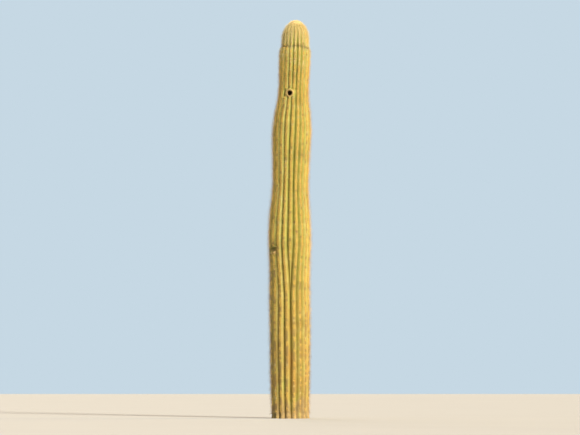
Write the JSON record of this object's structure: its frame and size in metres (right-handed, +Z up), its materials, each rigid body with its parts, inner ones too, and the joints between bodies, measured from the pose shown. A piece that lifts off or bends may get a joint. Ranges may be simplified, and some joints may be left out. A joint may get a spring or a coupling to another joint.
{
  "type": "saguaro cactus",
  "caption": "Tall unbranched columnar desert cactus with deep vertical ribs, spine rows on their crests, a woolly growing tip, a nest hole and a crease; rooted in the ground.",
  "frame": {"origin": "middle of the flat cut at ground level, where the column's axis meets the ground", "axes": "+Z up along the column, -Y towards the side that the picture shows, +X to its right"},
  "size_m": [0.496, 0.4937, 4.0507],
  "materials": {
    "skin": "olive-green waxy cactus skin, yellower on the rib crests and duller in the furrows",
    "spines": "straw-coloured to grey dry spines on tan felted pads",
    "wool": "dense cream felt with pale golden young spines",
    "cork": "rough brown scar cork, nearly black inside the hole"
  },
  "bodies": {
    "root": {"stem": "skin", "nest_hole_lining": "cork", "woolly_tip": "wool", "spine_row_01_lower": "spines", "spine_row_01_upper": "spines", "spine_row_02_lower": "spines", "spine_row_02_upper": "spines", "spine_row_03": "spines", "spine_row_04": "spines", "spine_row_05": "spines", "spine_row_06": "spines", "spine_row_07": "spines", "spine_row_08": "spines", "spine_row_09": "spines", "spine_row_10": "spines", "spine_row_11": "spines", "spine_row_12": "spines", "spine_row_13": "spines", "spine_row_14": "spines", "spine_row_15": "spines", "spine_row_16": "spines", "spine_row_17": "spines", "spine_row_18_lower": "spines", "spine_row_18_upper": "spines", "spine_row_19_lower": "spines", "spine_row_19_middle": "spines", "spine_row_19_upper": "spines", "spine_row_20_lower": "spines", "spine_row_20_middle": "spines", "spine_row_20_upper": "spines", "spine_row_21_lower": "spines", "spine_row_21_upper": "spines"}
  },
  "joints": []
}
